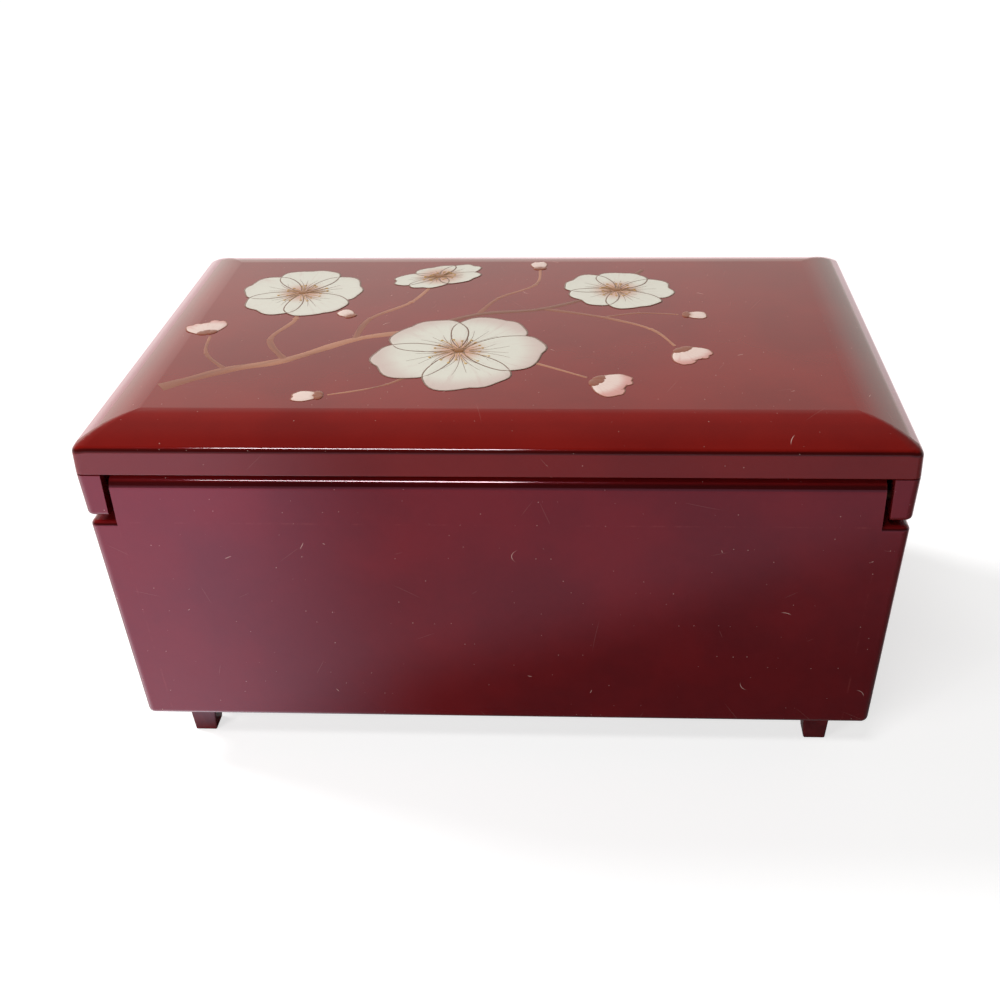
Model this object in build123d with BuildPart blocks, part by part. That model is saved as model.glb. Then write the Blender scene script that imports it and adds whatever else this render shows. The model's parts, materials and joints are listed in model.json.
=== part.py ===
from build123d import *
import os
from math import cos, radians, sin, tan

os.makedirs("parts", exist_ok=True)

# Lacquered jewellery box. The origin is under the middle of the box, on the surface that its
# feet stand on. +X runs to the right along the hinge side, +Y runs from the hinge side to the
# front, +Z is up. All sizes are in millimetres and all angles in degrees.

# Overall sizes
lid_width = 200.0
lid_depth = 125.0
foot_height = 12.0
case_height = 63.0
shoulder_gap = 1.9
skirt_height = 11.9
band_height = 6.9
crown_rise = 4.3

# Case walls
wall_thickness = 7.0
wall_lean = 3.3
corner_radius = 2.0
case_bottom_radius = 1.8
shoulder_radius = 1.2
base_thickness = 4.0

# Feet
foot_top_width = 7.6
foot_tip_width = 5.8
foot_side_inset = 8.2
foot_end_inset = 6.8
foot_edge_radius = 0.5

# Lid
crown_width = 13.5
hip_radius = 5.0
band_radius = 1.9
seam_ease = 0.3
lid_side_gap = 1.6
skirt_bottom_radius = 1.2

# Hinge
pivot_from_back = 4.3
pivot_below_board = 6.3
rail_top_gap = 1.0
rail_outer_radius = 3.0
rail_inner_radius = 0.8
pin_radius = 1.25
pin_running_clearance = 0.05
pin_end_chamfer = 0.2
pin_depth_in_rail = 9.0
pin_depth_in_cheek = 4.0
bore_end_clearance = 0.5

# Lid bumpers
bumper_radius = 2.5
bumper_from_side = 20.0
bumper_running_gap = 0.1

# Mirror and lid lining
mirror_width = 118.0
mirror_depth = 68.0
mirror_thickness = 2.0
mirror_bevel_width = 5.0
mirror_bevel_drop = 0.8
mirror_corner_radius = 2.0
mirror_edge_gap = 0.3
lid_lining_thickness = 2.6
lid_lining_side_gap = 0.4
lid_lining_back_gap = 3.0
lid_lining_edge_radius = 1.2
lid_lining_corner_radius = 3.0

# Case lining
lining_thickness = 1.6
lining_lip = 4.0
lining_edge_radius = 0.7

# Compartments
divider_thickness = 3.0
divider_drop = 18.0
divider_edge_radius = 1.2
ring_side_width = 64.0
front_compartment_depth = 42.0
corner_compartment_width = 48.0

# Ring rolls on their shelf
shelf_thickness = 2.5
shelf_side_gap = 0.3
ledge_width = 4.0
ledge_height = 5.0
roll_count = 6
roll_height = 13.0
roll_side_height = 5.0
roll_gap = 0.4
roll_end_gap = 0.5
roll_end_radius = 5.0
roll_foot_draw = 0.8
roll_drop = 0.5

# Floor pads
pad_side_height = 3.2
pad_crown = 1.4
pad_edge_gap = 0.5
pad_side_draw = 0.8
pad_corner_radius = 3.0
pad_edge_radius = 1.2

# Heights that follow from the sizes above
case_bottom_z = foot_height
base_top_z = case_bottom_z + base_thickness
shoulder_z = case_bottom_z + case_height
skirt_bottom_z = shoulder_z + shoulder_gap
board_bottom_z = skirt_bottom_z + skirt_height
band_top_z = board_bottom_z + band_height
lid_top_z = band_top_z + crown_rise
rail_top_z = board_bottom_z - rail_top_gap
lip_z = shoulder_z + lining_lip
divider_top_z = shoulder_z - divider_drop
roll_top_z = divider_top_z - roll_drop
shelf_top_z = roll_top_z - roll_height
shelf_bottom_z = shelf_top_z - shelf_thickness
ledge_bottom_z = shelf_bottom_z - ledge_height

# Material that a cut takes away beyond the faces that it has to pass
cut_margin = 2.0


def half_width(z, inset=0.0):
    """Half the leaning outline along X at a height, less an inset."""
    return lid_width / 2 - (board_bottom_z - z) * tan(radians(wall_lean)) - inset


def half_depth(z, inset=0.0):
    """Half the leaning outline along Y at a height, less an inset."""
    return lid_depth / 2 - (board_bottom_z - z) * tan(radians(wall_lean)) - inset


def leaning_block(low_z, high_z, inset, radius=0.0):
    """Solid block between two heights, with sides that lean as the case walls do."""
    with BuildPart() as block:
        for z in (low_z, high_z):
            with BuildSketch(Plane.XY.offset(z)):
                if radius > 0:
                    RectangleRounded(2 * half_width(z, inset), 2 * half_depth(z, inset), radius)
                else:
                    Rectangle(2 * half_width(z, inset), 2 * half_depth(z, inset))
        loft(ruled=True)
    return block.part


def side_plane(side, inset):
    """Leaning plane at an inset from the outer side face; side is 1 on the right, -1 on the left."""
    lean = radians(wall_lean)
    return Plane(
        origin=(side * half_width(shoulder_z, inset), 0, shoulder_z),
        x_dir=(0, 1, 0),
        z_dir=(side * cos(lean), 0, -sin(lean)),
    )


def end_plane(end, inset):
    """Leaning plane at an inset from the front or back face; end is 1 at the front, -1 at the back."""
    lean = radians(wall_lean)
    return Plane(
        origin=(0, end * half_depth(shoulder_z, inset), shoulder_z),
        x_dir=(1, 0, 0),
        z_dir=(0, end * cos(lean), -sin(lean)),
    )


def save(name, piece):
    """Label a finished piece and write it to its own file."""
    piece.part.label = name
    export_step(piece.part, f"parts/{name}.step")


sides = {"left": -1, "right": 1}
ends = {"back": -1, "front": 1}

# Case walls: one leaning shell, divided where the boards meet
case_block = leaning_block(case_bottom_z, shoulder_z, 0, corner_radius)
case_cavity = leaning_block(case_bottom_z - cut_margin, shoulder_z + cut_margin, wall_thickness)

with BuildPart() as case_shell:
    add(case_block)
    fillet(case_shell.edges().group_by(Axis.Z)[0], case_bottom_radius)
    add(case_cavity, mode=Mode.SUBTRACT)

# Side walls run the whole depth and carry the rounded corners
for side_name, side in sides.items():
    with BuildPart() as side_wall:
        add(case_shell.part)
        split(bisect_by=side_plane(side, wall_thickness), keep=Keep.TOP)
        shoulder_edges = side_wall.edges().group_by(Axis.Z)[-1]
        outer_edge = shoulder_edges.sort_by(Axis.X)[-1 if side > 0 else 0]
        fillet(outer_edge, shoulder_radius)
    save(f"{side_name}_wall", side_wall)

# Front and back walls stand between the side walls
for end_name, end in ends.items():
    with BuildPart() as end_wall:
        add(case_shell.part)
        for side in sides.values():
            split(bisect_by=side_plane(side, wall_thickness), keep=Keep.BOTTOM)
        split(bisect_by=Plane.XZ, keep=Keep.BOTTOM if end > 0 else Keep.TOP)
        if end_name == "front":
            shoulder_edges = end_wall.edges().group_by(Axis.Z)[-1]
            fillet(shoulder_edges.sort_by(Axis.Y)[-1], shoulder_radius)
    save(f"{end_name}_wall", end_wall)

# Base panel, set between the walls
with BuildPart() as base_panel:
    add(leaning_block(case_bottom_z, base_top_z, wall_thickness))
save("base_panel", base_panel)

# Feet: small tapered blocks under the corners of the base panel
foot_centre_x = half_width(case_bottom_z, foot_side_inset) - foot_top_width / 2
foot_centre_y = half_depth(case_bottom_z, foot_end_inset) - foot_top_width / 2

for side_name, side in sides.items():
    for end_name, end in ends.items():
        with BuildPart() as foot:
            for z, width in ((0, foot_tip_width), (foot_height, foot_top_width)):
                with BuildSketch(Plane((side * foot_centre_x, end * foot_centre_y, z))):
                    Rectangle(width, width)
            loft(ruled=True)
            fillet(foot.edges().group_by(Axis.Z)[0] + foot.edges().group_by(Axis.Z)[1], foot_edge_radius)
        save(f"foot_{end_name}_{side_name}", foot)

# Hinge rail: stands on the back wall between the lid's cheeks and carries the hinge pins
rail_half_length = half_width(shoulder_z, wall_thickness)
pivot_y = -half_depth(board_bottom_z) + pivot_from_back
pivot_z = board_bottom_z - pivot_below_board

with BuildPart() as hinge_rail:
    add(leaning_block(shoulder_z, rail_top_z, 0))
    split(bisect_by=end_plane(-1, wall_thickness), keep=Keep.TOP)
    with Locations((0, 0, (shoulder_z + rail_top_z) / 2)):
        Box(2 * rail_half_length, lid_depth, rail_top_z - shoulder_z, mode=Mode.INTERSECT)
    top_edges = hinge_rail.edges().group_by(Axis.Z)[-1].filter_by(Axis.X).sort_by(Axis.Y)
    fillet(top_edges[0], rail_outer_radius)
    top_edges = hinge_rail.edges().group_by(Axis.Z)[-1].filter_by(Axis.X).sort_by(Axis.Y)
    fillet(top_edges[-1], rail_inner_radius)
    bore_depth = pin_depth_in_rail + bore_end_clearance
    for side in sides.values():
        with Locations((side * (rail_half_length - bore_depth / 2), pivot_y, pivot_z)):
            Cylinder(
                pin_radius + pin_running_clearance,
                bore_depth,
                rotation=(0, 90, 0),
                mode=Mode.SUBTRACT,
            )
save("hinge_rail", hinge_rail)

# Hinge pins: held in the cheeks, turning in the rail's bores
cheek_inner_x = rail_half_length + lid_side_gap
front_rail_inner_y = half_depth(shoulder_z, wall_thickness) + lid_side_gap
pin_low_x = rail_half_length - pin_depth_in_rail
pin_high_x = cheek_inner_x + pin_depth_in_cheek

for side_name, side in sides.items():
    with BuildPart() as hinge_pin:
        with Locations((side * (pin_low_x + pin_high_x) / 2, pivot_y, pivot_z)):
            Cylinder(pin_radius, pin_high_x - pin_low_x, rotation=(0, 90, 0))
        chamfer(hinge_pin.edges().filter_by(GeomType.CIRCLE), pin_end_chamfer)
    save(f"hinge_pin_{side_name}", hinge_pin)

# Lid skirt: one leaning ring, open at the back, divided into two cheeks and a front rail
skirt_block = leaning_block(skirt_bottom_z, board_bottom_z, 0, corner_radius)

for side_name, side in sides.items():
    with BuildPart() as cheek:
        add(skirt_block)
        split(bisect_by=Plane.YZ.offset(side * cheek_inner_x), keep=Keep.TOP if side > 0 else Keep.BOTTOM)
        outer = cheek.edges().group_by(Axis.Z)[0].sort_by(Axis.X)[-1 if side > 0 else 0]
        fillet(outer, skirt_bottom_radius)
        seam = cheek.edges().group_by(Axis.Z)[-1].sort_by(Axis.X)[-1 if side > 0 else 0]
        fillet(seam, seam_ease)
        with Locations((side * (cheek_inner_x + pin_depth_in_cheek / 2), pivot_y, pivot_z)):
            Cylinder(pin_radius, pin_depth_in_cheek, rotation=(0, 90, 0), mode=Mode.SUBTRACT)
    save(f"lid_cheek_{side_name}", cheek)

with BuildPart() as lid_front_rail:
    add(skirt_block)
    split(bisect_by=Plane.YZ.offset(cheek_inner_x), keep=Keep.BOTTOM)
    split(bisect_by=Plane.YZ.offset(-cheek_inner_x), keep=Keep.TOP)
    split(bisect_by=Plane.XZ.offset(-front_rail_inner_y), keep=Keep.BOTTOM)
    front_edge = lid_front_rail.edges().group_by(Axis.Z)[0].sort_by(Axis.Y)[-1]
    fillet(front_edge, skirt_bottom_radius)
    seam_edge = lid_front_rail.edges().group_by(Axis.Z)[-1].sort_by(Axis.Y)[-1]
    fillet(seam_edge, seam_ease)
save("lid_front_rail", lid_front_rail)


def crown_section(plane, width):
    """Section of the lid board: straight band, rounded slope and flat top."""
    half = width / 2
    flat_half = half - crown_width
    with BuildSketch(plane) as section:
        with BuildLine():
            Polyline((-half, band_top_z), (-half, board_bottom_z), (half, board_bottom_z), (half, band_top_z))
            TangentArc((flat_half, lid_top_z), (half, band_top_z), tangent=(1, 0))
            TangentArc((-flat_half, lid_top_z), (-half, band_top_z), tangent=(-1, 0))
            Line((-flat_half, lid_top_z), (flat_half, lid_top_z))
        make_face()
    return section.sketch


# Lid board: the crowned section runs both ways and meets in a rounded hip at each corner
with BuildPart() as lid_board:
    extrude(crown_section(Plane.XZ, lid_width), amount=lid_depth / 2, both=True)
    extrude(crown_section(Plane.YZ, lid_depth), amount=lid_width / 2, both=True, mode=Mode.INTERSECT)
    fillet(lid_board.edges().filter_by(Axis.Z), corner_radius)
    slope_edges = lid_board.edges().filter_by(lambda edge: band_top_z < edge.center().Z < lid_top_z)
    fillet(slope_edges.sort_by(SortBy.LENGTH)[-4:], hip_radius)
    band_edges = lid_board.edges().filter_by(lambda edge: abs(edge.center().Z - band_top_z) < band_radius)
    fillet(band_edges.filter_by(GeomType.LINE), band_radius)
    underside_edges = lid_board.edges().group_by(Axis.Z)[0]
    fillet(underside_edges, seam_ease)
save("lid_board", lid_board)

# Mirror: glass with a bevelled edge, fixed under the middle of the lid lining
lid_lining_half_x = cheek_inner_x - lid_lining_side_gap
lid_lining_front_y = front_rail_inner_y - lid_lining_side_gap
lid_lining_back_y = -half_depth(shoulder_z, wall_thickness + lining_thickness + lid_lining_back_gap)
lid_lining_depth = lid_lining_front_y - lid_lining_back_y
lid_lining_centre_y = (lid_lining_front_y + lid_lining_back_y) / 2
mirror_face_z = board_bottom_z - mirror_thickness
mirror_bevel_z = mirror_face_z + mirror_bevel_drop

with BuildPart() as mirror:
    with BuildSketch(Plane((0, lid_lining_centre_y, mirror_bevel_z))):
        RectangleRounded(mirror_width, mirror_depth, mirror_corner_radius)
    extrude(amount=mirror_thickness - mirror_bevel_drop)
    with BuildSketch(Plane((0, lid_lining_centre_y, mirror_bevel_z))):
        RectangleRounded(mirror_width, mirror_depth, mirror_corner_radius)
    with BuildSketch(Plane((0, lid_lining_centre_y, mirror_face_z))):
        RectangleRounded(
            mirror_width - 2 * mirror_bevel_width,
            mirror_depth - 2 * mirror_bevel_width,
            mirror_corner_radius,
        )
    loft(ruled=True)
save("mirror", mirror)

# Lid lining: a padded velvet panel with a window for the mirror
with BuildPart() as lid_lining:
    with BuildSketch(Plane((0, lid_lining_centre_y, board_bottom_z))):
        RectangleRounded(2 * lid_lining_half_x, lid_lining_depth, lid_lining_corner_radius)
        RectangleRounded(
            mirror_width + 2 * mirror_edge_gap,
            mirror_depth + 2 * mirror_edge_gap,
            mirror_corner_radius + mirror_edge_gap,
            mode=Mode.SUBTRACT,
        )
    extrude(amount=-lid_lining_thickness)
    fillet(lid_lining.edges().group_by(Axis.Z)[0], lid_lining_edge_radius)
save("lid_lining", lid_lining)

# Bumpers: felt dots on the front wall that hold the closed lid level
bumper_height = shoulder_gap - bumper_running_gap
bumper_x = half_width(shoulder_z) - bumper_from_side
bumper_y = half_depth(shoulder_z) - wall_thickness / 2

for side_name, side in sides.items():
    with BuildPart() as bumper:
        with BuildSketch(Plane((side * bumper_x, bumper_y, shoulder_z))):
            Circle(bumper_radius)
        extrude(amount=bumper_height)
    save(f"lid_bumper_{side_name}", bumper)

# Case lining: velvet covered boards on the four walls, standing a little above the shoulder
lined_inset = wall_thickness + lining_thickness
with BuildPart() as lining_shell:
    add(leaning_block(base_top_z, lip_z, wall_thickness))
    add(leaning_block(base_top_z - cut_margin, lip_z + cut_margin, lined_inset), mode=Mode.SUBTRACT)

for side_name, side in sides.items():
    with BuildPart() as side_lining:
        add(lining_shell.part)
        split(bisect_by=side_plane(side, lined_inset), keep=Keep.TOP)
        fillet(side_lining.edges().group_by(Axis.Z)[-1].filter_by(Axis.Y), lining_edge_radius)
    save(f"lining_{side_name}", side_lining)

for end_name, end in ends.items():
    with BuildPart() as end_lining:
        add(lining_shell.part)
        for side in sides.values():
            split(bisect_by=side_plane(side, lined_inset), keep=Keep.BOTTOM)
        split(bisect_by=end_plane(end, lined_inset), keep=Keep.TOP)
        fillet(end_lining.edges().group_by(Axis.Z)[-1].filter_by(Axis.X), lining_edge_radius)
    save(f"lining_{end_name}", end_lining)


def fitted_board(low, high, inset):
    """Board between two corners, trimmed to the leaning sides of the lined case."""
    size = Vector(*high) - Vector(*low)
    with BuildPart() as board:
        with Locations((Vector(*high) + Vector(*low)) * 0.5):
            Box(size.X, size.Y, size.Z)
        add(leaning_block(low[2], high[2], inset), mode=Mode.INTERSECT)
    return board.part


# Dividers: one across the case beside the rings, one along it and a short one at the front
ring_side_x = half_width(divider_top_z, lined_inset) - ring_side_width
cross_left_x = ring_side_x - divider_thickness
front_side_y = half_depth(divider_top_z, lined_inset) - front_compartment_depth
long_back_y = front_side_y - divider_thickness
corner_side_x = corner_compartment_width - half_width(divider_top_z, lined_inset)
short_right_x = corner_side_x + divider_thickness
reach_x = half_width(divider_top_z, wall_thickness)
reach_y = half_depth(divider_top_z, wall_thickness)

divider_corners = {
    "cross_divider": ((cross_left_x, -reach_y, base_top_z), (ring_side_x, reach_y, divider_top_z)),
    "long_divider": ((-reach_x, long_back_y, base_top_z), (cross_left_x, front_side_y, divider_top_z)),
    "short_divider": ((corner_side_x, front_side_y, base_top_z), (short_right_x, reach_y, divider_top_z)),
}

for name, (low, high) in divider_corners.items():
    run = Axis.X if name == "long_divider" else Axis.Y
    with BuildPart() as divider:
        add(fitted_board(low, high, lined_inset))
        fillet(divider.edges().group_by(Axis.Z)[-1].filter_by(run), divider_edge_radius)
    save(name, divider)

# Ring shelf and the two ledges that it lies on
ledge_spans = {
    "inner": (ring_side_x, ring_side_x + ledge_width),
    "outer": (half_width(ledge_bottom_z, lined_inset) - ledge_width, reach_x),
}
for ledge_name, (low_x, high_x) in ledge_spans.items():
    with BuildPart() as ledge:
        add(fitted_board((low_x, -reach_y, ledge_bottom_z), (high_x, reach_y, shelf_bottom_z), lined_inset))
    save(f"shelf_ledge_{ledge_name}", ledge)

with BuildPart() as ring_shelf:
    shelf_low = (ring_side_x + shelf_side_gap, -reach_y, shelf_bottom_z)
    shelf_high = (reach_x, reach_y, shelf_top_z)
    add(fitted_board(shelf_low, shelf_high, lined_inset + shelf_side_gap))
save("ring_shelf", ring_shelf)

# Ring rolls: padded rolls with a domed top, side by side, that grip a ring between them
roll_pitch = 2 * half_depth(shelf_top_z, lined_inset) / roll_count
roll_half_width = (roll_pitch - roll_gap) / 2
roll_low_x = ring_side_x + roll_end_gap
roll_high_x = half_width(shelf_top_z, lined_inset) - roll_end_gap
roll_shoulder_z = shelf_top_z + roll_side_height

for number in range(roll_count):
    centre_y = (number - (roll_count - 1) / 2) * roll_pitch
    low_y = centre_y - roll_half_width
    high_y = centre_y + roll_half_width
    with BuildPart() as ring_roll:
        with BuildSketch(Plane.YZ.offset(roll_low_x)):
            with BuildLine():
                foot_left = (low_y + roll_foot_draw, shelf_top_z)
                foot_right = (high_y - roll_foot_draw, shelf_top_z)
                Line(foot_left, foot_right)
                TangentArc((high_y, roll_shoulder_z), foot_right, tangent=(0, -1))
                ThreePointArc((high_y, roll_shoulder_z), (centre_y, roll_top_z), (low_y, roll_shoulder_z))
                TangentArc((low_y, roll_shoulder_z), foot_left, tangent=(0, -1))
            make_face()
        extrude(amount=roll_high_x - roll_low_x)
        with BuildSketch(Plane.XZ) as side_view:
            with Locations(((roll_low_x + roll_high_x) / 2, (shelf_top_z + roll_top_z) / 2)):
                Rectangle(roll_high_x - roll_low_x, roll_height)
            fillet(side_view.vertices().group_by(Axis.Y)[-1], roll_end_radius)
        extrude(amount=lid_depth, both=True, mode=Mode.INTERSECT)
    save(f"ring_roll_{number + 1}", ring_roll)


def crowned_pad(low_x, high_x, low_y, high_y):
    """Floor cushion with a crowned top and sides that draw in between its corners."""
    centre_x = (low_x + high_x) / 2
    centre_y = (low_y + high_y) / 2
    side_z = base_top_z + pad_side_height
    crown_z = side_z + pad_crown
    with BuildPart() as pad:
        with BuildSketch(Plane.XY.offset(base_top_z)) as outline:
            with BuildLine():
                ThreePointArc((low_x, low_y), (centre_x, low_y + pad_side_draw), (high_x, low_y))
                ThreePointArc((high_x, low_y), (high_x - pad_side_draw, centre_y), (high_x, high_y))
                ThreePointArc((high_x, high_y), (centre_x, high_y - pad_side_draw), (low_x, high_y))
                ThreePointArc((low_x, high_y), (low_x + pad_side_draw, centre_y), (low_x, low_y))
            make_face()
            fillet(outline.vertices(), pad_corner_radius)
        extrude(amount=pad_side_height + pad_crown)
        for plane, low, high in ((Plane.XZ, low_x, high_x), (Plane.YZ, low_y, high_y)):
            with BuildSketch(plane):
                with BuildLine():
                    left_rim = (low + pad_edge_radius, side_z)
                    right_rim = (high - pad_edge_radius, side_z)
                    left_edge = (low, side_z - pad_edge_radius)
                    right_edge = (high, side_z - pad_edge_radius)
                    Polyline(left_edge, (low, base_top_z), (high, base_top_z), right_edge)
                    TangentArc(right_edge, right_rim, tangent=(0, 1))
                    ThreePointArc(right_rim, ((low + high) / 2, crown_z), left_rim)
                    TangentArc(left_edge, left_rim, tangent=(0, 1))
                make_face()
            extrude(amount=lid_width, both=True, mode=Mode.INTERSECT)
    return pad


# Floor pads: one cushion in each open compartment
floor_x = half_width(base_top_z, lined_inset) - pad_edge_gap
floor_y = half_depth(base_top_z, lined_inset) - pad_edge_gap
pad_right_x = cross_left_x - pad_edge_gap

save("pad_back", crowned_pad(-floor_x, pad_right_x, -floor_y, long_back_y - pad_edge_gap))
save("pad_corner", crowned_pad(-floor_x, corner_side_x - pad_edge_gap, front_side_y + pad_edge_gap, floor_y))
save("pad_front", crowned_pad(short_right_x + pad_edge_gap, pad_right_x, front_side_y + pad_edge_gap, floor_y))
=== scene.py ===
"""Lacquered jewellery box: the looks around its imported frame.

The case and the lid keep their solids and get lacquer, the lid's top gets a painted blossom spray,
and velvet pieces take the place of the plain soft solids inside.
"""

import json
import logging
import random
from dataclasses import dataclass
from enum import Enum
from math import cos, hypot, pi, radians, sin, tau

import bmesh
import bpy
from mathutils import Matrix, Vector

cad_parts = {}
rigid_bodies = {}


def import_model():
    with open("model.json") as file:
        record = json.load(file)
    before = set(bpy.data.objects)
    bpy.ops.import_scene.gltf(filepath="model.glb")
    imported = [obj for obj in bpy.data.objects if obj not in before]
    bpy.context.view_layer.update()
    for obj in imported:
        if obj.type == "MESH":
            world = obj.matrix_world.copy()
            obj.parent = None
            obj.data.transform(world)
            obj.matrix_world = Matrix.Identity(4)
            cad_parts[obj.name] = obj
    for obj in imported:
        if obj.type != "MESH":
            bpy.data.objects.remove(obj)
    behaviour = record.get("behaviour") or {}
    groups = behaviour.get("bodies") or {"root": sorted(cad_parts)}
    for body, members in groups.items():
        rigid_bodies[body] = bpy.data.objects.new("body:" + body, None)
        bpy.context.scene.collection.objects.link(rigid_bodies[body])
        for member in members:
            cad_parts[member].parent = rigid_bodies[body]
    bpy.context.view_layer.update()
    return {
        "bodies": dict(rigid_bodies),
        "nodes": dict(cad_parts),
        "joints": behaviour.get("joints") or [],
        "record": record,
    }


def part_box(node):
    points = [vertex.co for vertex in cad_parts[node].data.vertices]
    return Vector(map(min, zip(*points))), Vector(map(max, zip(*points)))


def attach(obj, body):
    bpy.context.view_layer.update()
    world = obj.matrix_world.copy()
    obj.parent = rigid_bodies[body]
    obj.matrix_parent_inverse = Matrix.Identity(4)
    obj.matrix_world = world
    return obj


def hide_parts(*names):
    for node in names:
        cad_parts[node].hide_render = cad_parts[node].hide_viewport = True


log = logging.getLogger("jewellery_box")

MM = 0.001

Levels = tuple[int, int, int]
Colour = tuple[float, float, float, float]
Point = tuple[float, float]
Range = tuple[float, float]
Tree, Node, Socket = bpy.types.NodeTree, bpy.types.Node, bpy.types.NodeSocket
Piece, Material = bpy.types.Object, bpy.types.Material
Form, FormPoint = bmesh.types.BMesh, bmesh.types.BMVert

BLACK = (0.0, 0.0, 0.0, 1.0)
WHITE = (1.0, 1.0, 1.0, 1.0)


class Body(Enum):
    """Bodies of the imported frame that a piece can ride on."""

    CASE = "case"
    LID = "lid"


class Slot(Enum):
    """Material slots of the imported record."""

    LID_LACQUER = "lid_lacquer"
    VELVET = "velvet"


class Relief(Enum):
    """Raised forms of the paint: from the rim inward, each ring's share of the outline and its height."""

    PETAL = ((0.995, 0.0), (0.96, 0.03), (0.86, 0.01), (0.6, 0.0), (0.3, -0.005))
    BUD = ((0.99, 0.0), (0.9, 0.05), (0.6, 0.08), (0.3, 0.09))
    SEPAL = ((1.0, 0.0), (0.8, 0.06), (0.4, 0.08))
    ANTHER = ((1.0, 0.02), (0.7, 0.06), (0.3, 0.07))
    HEART = ((1.0, 0.02), (0.8, 0.06), (0.4, 0.08))
    KNOT = ((1.0, 0.01), (0.75, 0.035), (0.35, 0.045))


def linear(red: int, green: int, blue: int) -> Colour:
    """Turn an 8-bit display colour into the linear RGBA that a shader takes.

    Args:
        red: Red from 0 to 255.
        green: Green from 0 to 255.
        blue: Blue from 0 to 255.

    Returns:
        Linear colour with an alpha of one.
    """
    def channel(level: int) -> float:
        """Turn one level of the display into linear light."""
        share = level / 255
        return share / 12.92 if share <= 0.04045 else ((share + 0.055) / 1.055) ** 2.4

    return channel(red), channel(green), channel(blue), 1.0


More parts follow.
